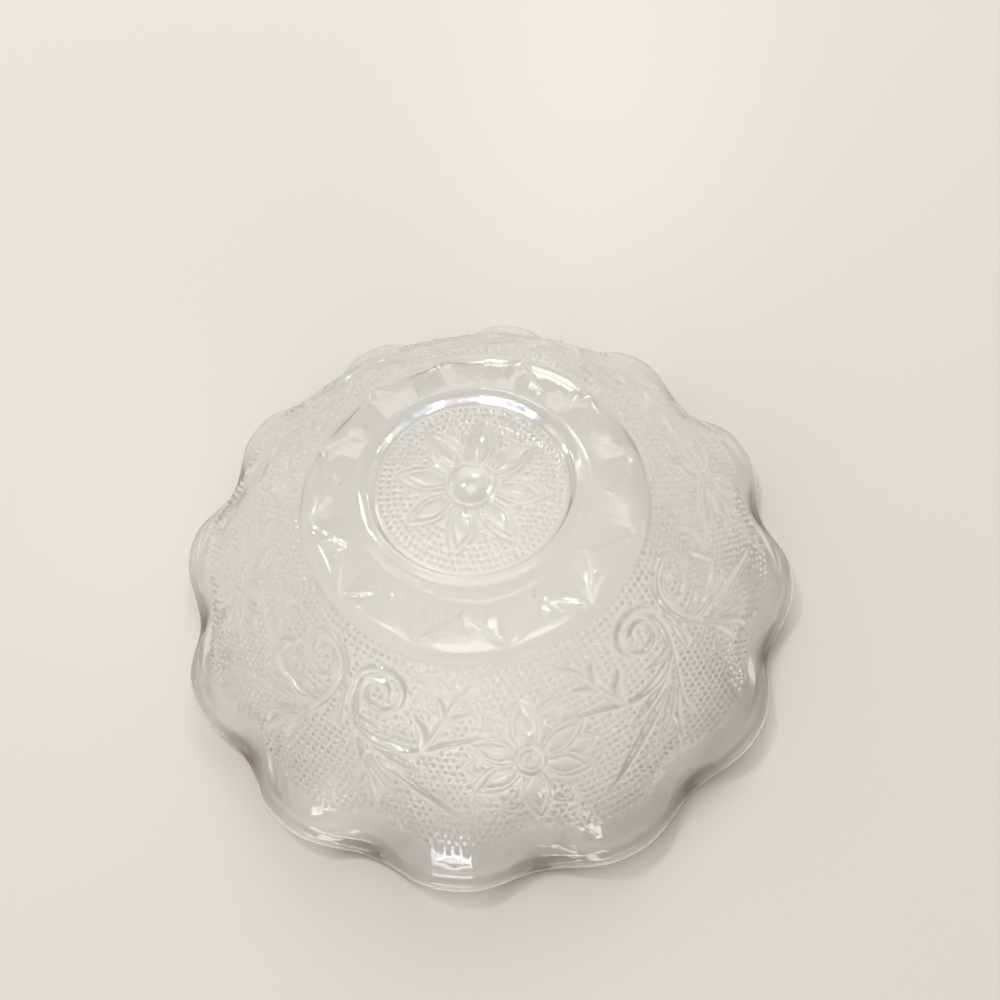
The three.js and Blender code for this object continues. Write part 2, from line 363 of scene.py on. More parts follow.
# %% [markdown]
# ## Drawing the ornament
# On the wall, four flowers alternate with four pairs of scrolls back to back. An engraver draws such a
# pattern flat, one half of one repeat, and the rest is the same again, mirrored or turned. We do the same:
# each stroke is a smooth line of a few points, in millimetres round from the middle of a scroll pair and
# down the slant of the wall. A stroke stores on its points how wide it is there (half) and how high it
# stands (rise).

# %% Strokes on the flat drawing
STROKE_STEP = 0.12
SPLINE_STEPS = 24    # points between two knots, before they are spaced evenly
DENSE = 40           # a line of so many knots is smooth already
THIN_RISE, RISE_BY_HALF = 0.35, 1.2   # thin strokes stand lower than broad ones


def smooth_line(knots, step=STROKE_STEP):
    """An even line of points through the knots: a Catmull-Rom spline."""
    p = np.array(knots, float)
    p = np.vstack([2 * p[0] - p[1], p, 2 * p[-1] - p[-2]])
    t = np.linspace(0, 1, SPLINE_STEPS, endpoint=False)[:, None]
    runs = []
    for a, b, c, d in zip(p, p[1:], p[2:], p[3:]):
        runs.append(0.5 * (2 * b + (c - a) * t + (2 * a - 5 * b + 4 * c - d) * t ** 2
                           + (3 * b - a - 3 * c + d) * t ** 3))
    return evenly(np.vstack([*runs, p[-2:-1]]), step)


def stroke(knots, widths, rise):
    """Columns x, y, half, rise of a stroke. Its widths are spread evenly along it."""
    line = smooth_line(knots) if len(knots) < DENSE else evenly(np.array(knots), STROKE_STEP)
    way = np.linspace(0, 1, len(line))
    half = np.interp(way, np.linspace(0, 1, len(widths)), widths) / 2
    return np.column_stack([line, half, rise * np.minimum(1, THIN_RISE + RISE_BY_HALF * half)])


print("strokes are cut into steps of", STROKE_STEP, "mm")

# %% Scrolls, stems and leaves
SCROLL_EYE = np.array([6.1, 11.3])
SCROLL_RADIUS = 4.6
SCROLL_TURNS = 1.5
SCROLL_POINTS = 80
SCROLL_SHRINK, SCROLL_HASTE = 0.72, 1.35   # how much of its radius it loses, and how late
STEM_RISE = 0.9
LEAF_RISE = 0.85
way = np.linspace(0, 1, SCROLL_POINTS)
reach = SCROLL_RADIUS * (1 - SCROLL_SHRINK * way ** SCROLL_HASTE)
aim = math.pi + way * SCROLL_TURNS * 2 * math.pi
scroll = SCROLL_EYE + np.stack([reach * np.cos(aim), reach * np.sin(aim)], 1)
scroll_foot = smooth_line([(4.7, 20.8), (2.9, 17.4), (1.7, 14.2), scroll[0]], 0.4)
stems = np.vstack([
    stroke(np.vstack([scroll_foot[:-1], scroll]), [2.0, 1.9, 1.7, 1.4, 1.2, 1.0, 0.9], STEM_RISE),
    stroke([(3.9, 17.7), (6, 18.35), (9.6, 17.2)], [1.1, 0.9, 0.3], STEM_RISE),
    stroke([(4.2, 19), (7, 20.3), (10.5, 20.8), (14, 20.5), (17, 19.6), (20.5, 18), (24.3, 17)],
           [1.5, 1.5, 1.4, 1.3, 1.1, 0.7], STEM_RISE),
    stroke([(16.2, 19.6), (17.3, 17), (17.7, 14.8), (18.2, 12.6)], [1.4, 1.3, 1.1], STEM_RISE),
    stroke([(0, 13.6), (0, 17), (0, 20.3)], [0.4, 0.9, 2.6], STEM_RISE),
])
LEAF = [0.3, 0.8, 1.0, 0.85, 0.5, 0.1]   # how a leaf swells and runs out to its tip
leaf_routes = [
    ([(4.6, 20.2), (8.5, 21.5), (12.5, 22.8), (17.6, 24)], 1.9),
    ([(4.7, 21), (7, 24.8), (8.1, 28), (8, 31.5)], 2.1),
    ([(7.2, 24.2), (10, 27.5), (11.7, 30.5), (12.6, 33.8)], 2.3),
    ([(8, 24), (11.5, 27.3), (16.2, 30.5)], 1.8),
    ([(9.5, 23.6), (15, 26), (22, 29.5), (29.5, 33.5)], 2.0),
    ([(17.8, 13.6), (16.6, 11), (15, 8.7)], 1.6),
    ([(18.1, 13), (18.9, 9.4), (20.9, 6.3)], 1.6),
    ([(17.8, 15.2), (19.8, 13), (22, 12)], 1.6),
    ([(16, 19.4), (15.2, 16.2), (12.8, 13.3)], 2.3),
]
leaves = np.vstack([
    stroke(route, [w * wide for w in LEAF], LEAF_RISE) for route, wide in leaf_routes
])
print(f"{len(stems)} stem points and {len(leaves)} leaf points on half a repeat")

# %% [markdown]
# ## Petals
# A flower has six petals round a ringed eye, and six sepals show their tips between them. Each petal is a
# low swelling with two fine lines along its outline. The medallion in the foot has eight petals of the same
# kind, so one function draws them all. It is told the direction, where the petal starts and ends, and how
# wide it is.

# %% Petals, sepals and rings on the flat drawing
OUTLINE = 0.62       # width of a fine line
OUTLINE_RISE = 0.5
PETAL_RISE = 0.15
PETAL_POINTS = 26
PETAL_START, PETAL_FULLNESS = 0.2, 0.8   # how open its start is, and how full its sides
SECOND_LINE, SECOND_TIP = 0.85, 1.6      # how far the second outline lies inside, and more so at the tip
SEPAL_GAP = 1.1      # between the two pairs of lines of a sepal
SEPAL_BOW = (0.1, 0.3)
CIRCLE_POINTS = 60


def turned(shape, direction):
    """A shape drawn along +x, turned to a direction given in degrees."""
    c, s = math.cos(math.radians(direction)), math.sin(math.radians(direction))
    return shape @ np.array([[c, s], [-s, c]])


def petal(direction, start, end, wide):
    """The swelling of a petal, and its two outlines."""
    u = np.linspace(0, 1, PETAL_POINTS)
    half = wide / 2 * np.sin(math.pi * (PETAL_START + (1 - PETAL_START) * u)) ** PETAL_FULLNESS
    middle = turned(np.stack([start + (end - start) * u, 0 * u], 1), direction)
    body = np.column_stack([middle, half, np.full(PETAL_POINTS, PETAL_RISE)])
    lines = []
    for shrink in (0, SECOND_LINE):
        side = np.clip(half - shrink, 0, None)
        place = start + (end - start - SECOND_TIP * shrink) * u
        both = np.vstack([np.stack([place, side], 1), np.stack([place, -side], 1)[::-1]])
        lines.append(stroke(turned(both, direction), [OUTLINE, OUTLINE], OUTLINE_RISE))
    return body, np.vstack(lines)


def sepal(direction, end, spread=36, length=3.4):
    """The tip of a sepal: two lines that meet, with a second pair inside them."""
    lines = []
    for inward in (0, SEPAL_GAP):
        tip = np.array([end - inward, 0.0])
        for side in (1, -1):
            a = math.radians(180 - side * spread)
            foot = tip + (length - inward) * np.array([math.cos(a), math.sin(a)])
            middle = (tip + foot) / 2 + np.array([SEPAL_BOW[0], SEPAL_BOW[1] * side])
            line = turned(np.array([tip, middle, foot]), direction)
            lines.append(stroke(line, [OUTLINE, OUTLINE], OUTLINE_RISE))
    return np.vstack(lines)


def circle(reach, wide, rise):
    a = np.linspace(0, 2 * math.pi, CIRCLE_POINTS)
    return stroke(reach * np.stack([np.cos(a), np.sin(a)], 1), [wide, wide], rise)


print("fine lines are", OUTLINE, "mm wide and", OUTLINE_RISE, "mm high")

# %% A flower and a petal of the medallion
FLOWER = np.array([0.0, 22.0, 0, 0])     # its place on the wall, as columns x, y, half, rise
FLOWER_PETAL = (3.3, 11.6, 4.6)          # start, end and width
MEDALLION_PETAL = (5.2, 13.9, 4.7)
SEPAL_END = 11.7
EYE_RINGS, EYE_LINE = (2.85, 1.75), 0.7  # radii of the rings round the eye, width of their lines
EYE_RISE = OUTLINE_RISE + 0.1
EYE = np.array([[0, 0, 1.2, 0.4]])       # a swelling in the middle
flower_petals = [petal(d, *FLOWER_PETAL) for d in (-90, -156, -24, 90, 156, 24)]
flower_lines = np.vstack([
    *[lines for _, lines in flower_petals],
    *[sepal(d, SEPAL_END) for d in (-120, -60, 180, 0, 120, 60)],
    *[circle(reach, EYE_LINE, EYE_RISE) for reach in EYE_RINGS],
]) + FLOWER
flower_bodies = np.vstack([*[body for body, _ in flower_petals], EYE]) + FLOWER
medallion_body, medallion_lines = petal(0, *MEDALLION_PETAL)
print(f"{len(flower_lines)} line points in a flower")

# %% Lay the drawing on the wall and the medallion
def on_wall(flat, middle):
    """Places on the wall for flat columns x, y, round from a middle angle."""
    wall_radius = np.interp(flat[:, 1], slant_along, slant_line[:, 0])
    wall_height = np.interp(flat[:, 1], slant_along, slant_line[:, 1])
    return around(wall_radius, wall_height, middle + flat[:, 0] / wall_radius)


def on_medallion(flat):
    return np.column_stack([flat[:, 0], flat[:, 1], np.full(len(flat), RECESS)])


def drawn(name, places, flat):
    """An object for strokes that are in place already, with their half and rise."""
    return mesh_object(name, places, half=flat[:, 2] * MM, rise=flat[:, 3] * MM)


MIDDLE_OVERLAP = 0.05


def half_flower(flat):
    """The half of a flower on the near side of its middle. The mirror adds the other."""
    return flat[flat[:, 0] <= MIDDLE_OVERLAP]


REPEATS, MEDALLION_PETALS = 4, 8
HALF_REPEAT = math.pi / REPEATS
half_lines, half_bodies = half_flower(flower_lines), half_flower(flower_bodies)
stem_strokes = drawn("stem_strokes", on_wall(stems, 0), stems)
leaf_strokes = drawn("leaf_strokes", on_wall(leaves, 0), leaves)
line_strokes = drawn("line_strokes", on_wall(half_lines, HALF_REPEAT), half_lines)
body_strokes = drawn("body_strokes", on_wall(half_bodies, HALF_REPEAT), half_bodies)
medallion_strokes = drawn("medallion_strokes", on_medallion(medallion_lines), medallion_lines)
medallion_swells = drawn("medallion_swells", on_medallion(medallion_body), medallion_body)
print("half a repeat is drawn, and one petal of the medallion")

# %% [markdown]
# ## Repeating with Geometry Nodes
# The half repeat has to be mirrored and set four times round the bowl, the medallion's petal eight times.
# Copies made by hand would all have to be changed whenever the drawing is. A node tree does it from the one
# drawing, and a number in the modifier says how often. A few short helpers make the trees easier to read.

# %% Helpers for node trees
def new_tree(name, *inputs):
    """A geometry node tree, and its inputs as a dictionary of sockets."""
    tree = bpy.data.node_groups.new(name, "GeometryNodeTree")
    tree.is_modifier = True
    tree.interface.new_socket("Geometry", in_out="OUTPUT", socket_type="NodeSocketGeometry")
    tree.interface.new_socket("Geometry", in_out="INPUT", socket_type="NodeSocketGeometry")
    for label, kind in inputs:
        tree.interface.new_socket(label, in_out="INPUT", socket_type="NodeSocket" + kind)
    entry = tree.nodes.new("NodeGroupInput")
    return tree, {socket.name: socket for socket in entry.outputs if socket.name}


def add(tree, kind, feeds=(), **options):
    """A node. Feeds go to its inputs, by name or in order: a socket is linked, a value is set."""
    node = tree.nodes.new(kind)
    for key, value in options.items():
        setattr(node, key, value)
    usable = [socket for socket in node.inputs if socket.enabled]
    pairs = feeds.items() if isinstance(feeds, dict) else enumerate(feeds)
    for key, feed in pairs:
        socket = usable[key] if isinstance(key, int) else next(s for s in usable if s.name == key)
        if isinstance(feed, bpy.types.NodeSocket):
            tree.links.new(feed, socket)
        else:
            socket.default_value = feed
    return next(socket for socket in node.outputs if socket.enabled)


def outlet(tree, kind, name, feeds=()):
    """An output of a new node that isn't its first."""
    return add(tree, kind, feeds).node.outputs[name]


def sums(tree, operation, *values):
    return add(tree, "ShaderNodeMath", values, operation=operation)


def mapped(tree, value, start, end, low, high, kind="LINEAR"):
    """A number that goes from low to high while the value goes from start to end."""
    return add(tree, "ShaderNodeMapRange", {
        "Value": value, "From Min": start, "From Max": end, "To Min": low, "To Max": high,
    }, interpolation_type=kind)


def stored(tree, name, kind="FLOAT"):
    """What the points have stored under a name."""
    return add(tree, "GeometryNodeInputNamedAttribute", {"Name": name}, data_type=kind)


def store(tree, geometry, name, value):
    return add(tree, "GeometryNodeStoreNamedAttribute",
               {"Geometry": geometry, "Name": name, "Value": value}, data_type="FLOAT", domain="POINT")


def place_parts(tree):
    """The node whose outputs X, Y and Z are a point's place."""
    return add(tree, "ShaderNodeSeparateXYZ", [add(tree, "GeometryNodeInputPosition")]).node


def finish_tree(tree, geometry, material):
    """The end of every tree: instances made real, the material set, the result handed out."""
    real = add(tree, "GeometryNodeRealizeInstances", [geometry])
    dressed = add(tree, "GeometryNodeSetMaterial", {"Geometry": real, "Material": material})
    exit_node = tree.nodes.new("NodeGroupOutput")
    tree.links.new(dressed, exit_node.inputs[0])


def run_tree(obj, tree, **values):
    """Sets the tree's inputs on a modifier, and turns the result into the object's own plain mesh."""
    modifier = obj.modifiers.new(tree.name, "NODES")
    modifier.node_group = tree
    for item in tree.interface.items_tree:
        key = item.name.replace(" ", "_")
        if item.in_out == "INPUT" and key in values:
            modifier[item.identifier] = values[key]
    make_plain(obj)


def make_plain(obj):
    evaluated = obj.evaluated_get(bpy.context.evaluated_depsgraph_get())
    result = bpy.data.meshes.new_from_object(evaluated)
    old = obj.data
    obj.modifiers.clear()
    obj.data = result
    bpy.data.meshes.remove(old)


glass = bpy.data.materials.new("clear_glass")
print("helpers ready")

# %% Repeat the drawing round the axis
def repeat_tree():
    tree, given = new_tree(
        "repeat_round_axis", ("Count", "Int"), ("Turn", "Float"), ("Material", "Material"))
    mirrored = add(tree, "GeometryNodeTransform", {"Geometry": given["Geometry"], "Scale": (1, -1, 1)})
    join = tree.nodes.new("GeometryNodeJoinGeometry")
    tree.links.new(given["Geometry"], join.inputs[0])
    tree.links.new(mirrored, join.inputs[0])
    spots = add(tree, "GeometryNodePoints", {"Count": given["Count"]})
    share = sums(tree, "DIVIDE", 2 * math.pi, given["Count"])
    spin = sums(tree, "MULTIPLY_ADD", add(tree, "GeometryNodeInputIndex"), share, given["Turn"])
    facing = add(tree, "ShaderNodeCombineXYZ", {"Z": spin})
    copies = add(tree, "GeometryNodeInstanceOnPoints",
                 {"Points": spots, "Instance": join.outputs[0], "Rotation": facing})
    finish_tree(tree, copies, given["Material"])
    return tree


repeat_round_axis = repeat_tree()
SCROLL_TURN = ORNAMENT_TURN + HALF_REPEAT
MEDALLION_TURN = ORNAMENT_TURN + math.pi / MEDALLION_PETALS
for strokes in (stem_strokes, leaf_strokes, line_strokes, body_strokes):
    run_tree(strokes, repeat_round_axis, Count=REPEATS, Turn=SCROLL_TURN, Material=glass)
for strokes in (medallion_strokes, medallion_swells):
    run_tree(strokes, repeat_round_axis, Count=MEDALLION_PETALS, Turn=MEDALLION_TURN, Material=glass)
for strokes in (stem_strokes, leaf_strokes, line_strokes, medallion_strokes):
    print(strokes.name, len(strokes.data.vertices), "points")

# %% [markdown]
# ## The stippled ground
# Between the strokes the mould was punched with thousands of small round pits, which show as beads on the
# glass, row under row, each row shifted by half a bead. Nobody would place them by hand. The tree takes a
# line of the section, cuts it into rows, hangs a circle on each row, and cuts the circles into beads: so
# every row gets as many beads as its length has room for. Beads that would touch a stroke are taken out,
# and below they end in a scalloped edge.

# %% Look up the nearest stroke
def sampled(tree, geometry, value, index, kind="FLOAT"):
    """A value as the point with this index has it."""
    return add(tree, "GeometryNodeSampleIndex", {"Geometry": geometry, "Value": value, "Index": index},
               data_type=kind, domain="POINT")


def nearest_stroke(tree, strokes, keys):
    """Distance to the nearest point of an object's strokes, and what that point has stored."""
    source = tree.nodes.new("GeometryNodeObjectInfo")
    source.transform_space = "ORIGINAL"
    tree.links.new(strokes, source.inputs["Object"])
    geometry = source.outputs["Geometry"]
    place = add(tree, "GeometryNodeInputPosition")
    index = add(tree, "GeometryNodeSampleNearest", {"Geometry": geometry}, domain="POINT")
    spot = sampled(tree, geometry, place, index, "FLOAT_VECTOR")
    gap = add(tree, "ShaderNodeVectorMath", [place, spot], operation="DISTANCE")
    return [gap, *[sampled(tree, geometry, stored(tree, key), index) for key in keys]]


print("any tree can now look up strokes")

# %% The tree that sets the beads
HOOP_POINTS = 360
UNEVEN = (0.92, 1.08)    # beads differ a little in size
SCALLOP_FULLNESS = 0.8   # below 1 the scallops are fuller than a cosine


def cut(tree, curve, length):
    """A curve cut into equal lengths."""
    return add(tree, "GeometryNodeResampleCurve", {"Curve": curve, "Length": length}, mode="LENGTH")


def without(tree, geometry, chosen):
    """A geometry without the points that are chosen."""
    return add(tree, "GeometryNodeDeleteGeometry",
               {"Geometry": geometry, "Selection": chosen}, domain="POINT")


def stipple_tree():
    sizes = ("Row Pitch", "Bead Pitch", "Bead Radius", "Bead Rise", "Clearance",
             "Edge", "Scallop", "Scallops")
    strokes = ("Stems", "Leaves", "Lines", "Bodies")
    tree, given = new_tree(
        "stippled_ground", *[(label, "Float") for label in sizes], *[(label, "Object") for label in strokes],
        ("Seed", "Int"), ("Material", "Material"))
    line = add(tree, "GeometryNodeMeshToCurve", [given["Geometry"]])
    rows = cut(tree, line, given["Row Pitch"])
    parts = place_parts(tree)
    along = tree.nodes.new("GeometryNodeSplineParameter").outputs["Length"]
    rows = store(tree, rows, "slant", along)
    rows = store(tree, rows, "reach", parts.outputs["X"])
    axis = add(tree, "ShaderNodeCombineXYZ", {"Z": parts.outputs["Z"]})
    rows = add(tree, "GeometryNodeSetPosition", {"Geometry": rows, "Position": axis})
    reach = stored(tree, "reach")
    size = add(tree, "ShaderNodeCombineXYZ", {"X": reach, "Y": reach, "Z": 1.0})
    odd = sums(tree, "MODULO", add(tree, "GeometryNodeInputIndex"), 2.0)
    half_bead = sums(tree, "DIVIDE", sums(tree, "MULTIPLY", given["Bead Pitch"], 0.5), reach)
    shift = add(tree, "ShaderNodeCombineXYZ", {"Z": sums(tree, "MULTIPLY", odd, half_bead)})
    hoop = add(tree, "GeometryNodeCurvePrimitiveCircle", {"Resolution": HOOP_POINTS, "Radius": 1.0})
    hoops = add(tree, "GeometryNodeInstanceOnPoints",
                {"Points": rows, "Instance": hoop, "Rotation": shift, "Scale": size})
    hoops = add(tree, "GeometryNodeRealizeInstances", [hoops])
    hoops = cut(tree, hoops, given["Bead Pitch"])
    beads = add(tree, "GeometryNodeCurveToPoints", {"Curve": hoops}, mode="EVALUATED")
    beads = add(tree, "GeometryNodePointsToVertices", {"Points": beads})
    for label in strokes:
        gap, half = nearest_stroke(tree, given[label], ["half"])
        room = sums(tree, "ADD", half, given["Clearance"])
        beads = without(tree, beads, sums(tree, "LESS_THAN", gap, room))
    here = place_parts(tree)
    turn = sums(tree, "ARCTAN2", here.outputs["Y"], here.outputs["X"])
    wave = sums(tree, "ABSOLUTE", sums(tree, "COSINE", sums(tree, "MULTIPLY", turn, given["Scallops"])))
    scallop = sums(tree, "POWER", wave, SCALLOP_FULLNESS)
    edge = sums(tree, "MULTIPLY_ADD", scallop, given["Scallop"], given["Edge"])
    beads = without(tree, beads, sums(tree, "GREATER_THAN", stored(tree, "slant"), edge))
    uneven = tree.nodes.new("FunctionNodeRandomValue")
    uneven.data_type = "FLOAT"
    tree.links.new(given["Seed"], uneven.inputs["Seed"])
    low, high = [s for s in uneven.inputs if s.enabled and s.name in ("Min", "Max")]
    low.default_value, high.default_value = UNEVEN
    factor = next(s for s in uneven.outputs if s.enabled)
    beads = store(tree, beads, "half", sums(tree, "MULTIPLY", given["Bead Radius"], factor))
    beads = store(tree, beads, "rise", sums(tree, "MULTIPLY", given["Bead Rise"], factor))
    finish_tree(tree, beads, given["Material"])
    return tree


stippled_ground = stipple_tree()
print("stipple tree:", len(stippled_ground.nodes), "nodes")

# %% Set the beads on the wall and in the medallion
def section_object(name, line):
    """A line of the section as an object with edges, for the tree to cut into rows."""
    flat = np.column_stack([line[:, 0], 0 * line[:, 0], line[:, 1]])
    made = mesh_object(name, flat)
    count = len(line) - 1
    made.data.edges.add(count)
    ends = np.stack([np.arange(count), np.arange(count) + 1], 1)
    made.data.edges.foreach_set("vertices", ends.astype(np.int32).ravel())
    made.data.update()
    return made


STIPPLE_TOP = 3.6    # slant of the first row
STIPPLE_EDGE = 34.6  # slant of the last row between two scallops
ANYWHERE = 1.0       # an edge a metre away, so that no row is cut
wall_beads = section_object("wall_beads", slant_part(STIPPLE_TOP, PATTERN_END - 0.6, 0.3))
run_tree(
    wall_beads, stippled_ground, Row_Pitch=1.25 * MM, Bead_Pitch=1.36 * MM, Bead_Radius=0.52 * MM,
    Bead_Rise=0.45 * MM, Clearance=0.42 * MM, Edge=(STIPPLE_EDGE - STIPPLE_TOP) * MM, Scallop=3.9 * MM,
    Scallops=6.0, Stems=stem_strokes, Leaves=leaf_strokes, Lines=line_strokes, Bodies=body_strokes,
    Seed=7, Material=glass)
medallion_beads = section_object("medallion_beads", level_line(16.3, 7.5, RECESS, 0.4))
run_tree(
    medallion_beads, stippled_ground, Row_Pitch=1.17 * MM, Bead_Pitch=1.22 * MM, Bead_Radius=0.46 * MM,
    Bead_Rise=0.42 * MM, Clearance=0.3 * MM, Edge=ANYWHERE, Scallop=0.0, Scallops=1.0,
    Stems=medallion_strokes, Leaves=medallion_swells, Lines=medallion_strokes, Bodies=medallion_swells,
    Seed=11, Material=glass)
for beads in (wall_beads, medallion_beads):
    print(beads.name, len(beads.data.vertices))

# %% [markdown]
# ## Pressing and crimping
# Beads and strokes could be separate solids joined to the wall with booleans, but glass that was pressed in
# one stroke has no seams, and refraction would show every one. So the strokes push the fine wall itself
# outwards: each point looks up the nearest stroke, and rises by a rounded profile of the distance. The
# highest push wins. Then the same tree crimps the rim: lobes swing out and up, notches in and down, fading
# out up the wall.

# %% The pressing tree
CRIMP = (1.45, 1.6)      # how far a lobe swings out, and up
CRIMP_REACH = 13.0
NOTCH_SHARPNESS = 1.25
PROFILE_FULLNESS = 0.75  # 1 is a parabola, less is rounder


def pressing_tree():
    names = ("Stems", "Leaves", "Lines", "Bodies", "Beads",
             "Medallion Lines", "Medallion Bodies", "Medallion Beads")
    sizes = ("Lobes", "Swing Out", "Swing Up", "Lip Height", "Reach", "Sharpness")
    tree, given = new_tree(
        "press_and_crimp", *[(name, "Object") for name in names], *[(size, "Float") for size in sizes],
        ("Material", "Material"))
    lifts = {}
    for name in names:
        gap, half, rise = nearest_stroke(tree, given[name], ["half", "rise"])
        off = sums(tree, "POWER", sums(tree, "DIVIDE", gap, half), 2.0)
        profile = sums(tree, "MAXIMUM", sums(tree, "SUBTRACT", 1.0, off), 0.0)
        lifts[name] = sums(tree, "MULTIPLY", sums(tree, "POWER", profile, PROFILE_FULLNESS), rise)
    flower = sums(tree, "ADD", lifts["Lines"], lifts["Bodies"])
    medallion = sums(tree, "ADD", lifts["Medallion Lines"], lifts["Medallion Bodies"])
    lift = sums(tree, "MAXIMUM", flower, medallion)
    for name in ("Stems", "Leaves", "Beads", "Medallion Beads"):
        lift = sums(tree, "MAXIMUM", lift, lifts[name])
    push = stored(tree, "push", "FLOAT_VECTOR")
    shove = add(tree, "ShaderNodeVectorMath", {"Vector": push, "Scale": lift}, operation="SCALE")
    pressed = add(tree, "GeometryNodeSetPosition", {"Geometry": given["Geometry"], "Offset": shove})
    here = place_parts(tree)
    turn = sums(tree, "ARCTAN2", here.outputs["Y"], here.outputs["X"])
    wave = sums(tree, "SINE", sums(tree, "MULTIPLY", turn, sums(tree, "MULTIPLY", given["Lobes"], 0.5)))
    notch = sums(tree, "POWER", sums(tree, "MULTIPLY", wave, wave), given["Sharpness"])
    crimp_top = sums(tree, "ADD", given["Lip Height"], given["Reach"])
    fade = mapped(tree, here.outputs["Z"], given["Lip Height"], crimp_top, 1.0, 0.0, "SMOOTHSTEP")
    swing = sums(tree, "MULTIPLY", fade, sums(tree, "MULTIPLY_ADD", notch, -2.0, 1.0))
    outwards = sums(tree, "MULTIPLY", swing, given["Swing Out"])
    move = add(tree, "ShaderNodeCombineXYZ", [
        sums(tree, "MULTIPLY", outwards, sums(tree, "COSINE", turn)),
        sums(tree, "MULTIPLY", outwards, sums(tree, "SINE", turn)),
        sums(tree, "MULTIPLY", swing, given["Swing Up"]),
    ])
    crimped = add(tree, "GeometryNodeSetPosition", {"Geometry": pressed, "Offset": move})
    finish_tree(tree, crimped, given["Material"])
    return tree


press_and_crimp = pressing_tree()
run_tree(
    bowl, press_and_crimp, Stems=stem_strokes, Leaves=leaf_strokes, Lines=line_strokes, Bodies=body_strokes,
    Beads=wall_beads, Medallion_Lines=medallion_strokes, Medallion_Bodies=medallion_swells,
    Medallion_Beads=medallion_beads, Lobes=float(LOBES), Swing_Out=CRIMP[0] * MM, Swing_Up=CRIMP[1] * MM,
    Lip_Height=LIP[1] * MM, Reach=CRIMP_REACH * MM, Sharpness=NOTCH_SHARPNESS, Material=glass)
print("pressed and crimped:", len(bowl.data.polygons), "triangles")

# %% [markdown]
# ## Fewer triangles, the same gloss
# The pressing has several times as many triangles as this part may carry, and on the smooth stretches most
# do nothing. Decimate collapses them where the surface is nearly flat and leaves them on the beads.
# Collapsing makes triangles of uneven size, and gloss on them would look blotchy, so Data Transfer copies
# the fine mesh's normals onto the result.

# %% Collapse the mesh and keep its normals
TRIANGLES = 192000
bowl.data.polygons.foreach_set("use_smooth", np.ones(len(bowl.data.polygons), bool))
fine = into_scene("fine_bowl", bowl.data.copy())
thin = bowl.modifiers.new("thin_out", "DECIMATE")
thin.ratio = TRIANGLES / len(bowl.data.polygons)
gloss = bowl.modifiers.new("keep_gloss", "DATA_TRANSFER")
gloss.object = fine
gloss.use_loop_data = True
gloss.data_types_loops = {"CUSTOM_NORMAL"}
gloss.loop_mapping = "POLYINTERP_NEAREST"
make_plain(bowl)
print("kept:", len(bowl.data.polygons), "triangles")

# %% Put the drawing aside
for helper in (fine, stem_strokes, leaf_strokes, line_strokes, body_strokes, wall_beads, medallion_strokes,
               medallion_swells, medallion_beads):
    old = helper.data
    bpy.data.objects.remove(helper)
    bpy.data.meshes.remove(old)
if "push" in bowl.data.attributes:
    bowl.data.attributes.remove(bowl.data.attributes["push"])
corners = np.zeros(3 * len(bowl.data.vertices), np.float32)
bowl.data.vertices.foreach_get("co", corners)
corners = corners.reshape(-1, 3)
corners[:, 2] = corners[:, 2].clip(cad_box[0][2], cad_box[1][2])
bowl.data.vertices.foreach_set("co", corners.ravel())
bowl.data.update()
corners /= MM
print("bowl from", corners.min(0).round(3), "to", corners.max(0).round(3), "mm")

# %% [markdown]
# ## Clear glass
# Clear glass has no colour of its own to speak of: what we see is the table through it, bent by every ridge.
# A Principled shader with full transmission does that. Old pressed glass isn't perfect, though: the iron
# mould chilled its skin, so a quarter of the light goes through a slightly dull shader and the rest through
# a polished one. Fire polish leaves a faint ripple, and years of sliding on tables dull the top of the foot
# ring. Finding every way of a lamp's light through bent glass would take thousands of samples. So for light
# on its way to the table the bowl is a plain filter: it holds back most at the thick lip, some at the
# stippled wall, and more wherever the light meets it aslant.

# %% What the glass does to light on its way to the table
LIP_TINT, WALL_TINT, CLEAR_TINT = (0.45, 0.38, 0.29), (0.87, 0.865, 0.85), (0.985, 0.985, 0.98)
FILTER = {           # what the glass lets through, by its height in millimetres
    2: LIP_TINT,
    6: (0.98, 0.975, 0.97),
    10: WALL_TINT,
    27: WALL_TINT,
    33: CLEAR_TINT,
}
ASLANT = (0.42, 0.95)    # Facing from which the glass holds back more, and at which it holds back most
ASLANT_LEFT = 0.22       # what is left there


def on_its_way_to_the_table(tree):
    """1 for light between a lamp and the table, 0 for what the camera sees."""
    path = add(tree, "ShaderNodeLightPath").node
    return sums(tree, "MAXIMUM", path.outputs["Is Shadow Ray"], path.outputs["Is Diffuse Ray"])


def lamp_filter(tree, level):
    """A Transparent shader, tinted by height and darker where the light meets the glass aslant."""
    height = mapped(tree, level, 0.0, FOOT_TOP * MM, 0.0, 1.0)
    tint = add(tree, "ShaderNodeValToRGB", {"Fac": height})
    bands = tint.node.color_ramp.elements
    while len(bands) < len(FILTER):
        bands.new(1.0)
    for band, (millimetres, colour) in zip(bands, FILTER.items()):
        band.position = millimetres / FOOT_TOP
        band.color = (*colour, 1)
    aslant = outlet(tree, "ShaderNodeLayerWeight", "Facing", {"Blend": 0.5})
    let_through = mapped(tree, aslant, *ASLANT, 1.0, ASLANT_LEFT)
    passed = add(tree, "ShaderNodeVectorMath", {"Vector": tint, "Scale": let_through}, operation="SCALE")
    return add(tree, "ShaderNodeBsdfTransparent", {"Color": passed})


print("filter with stops at", list(FILTER), "mm")

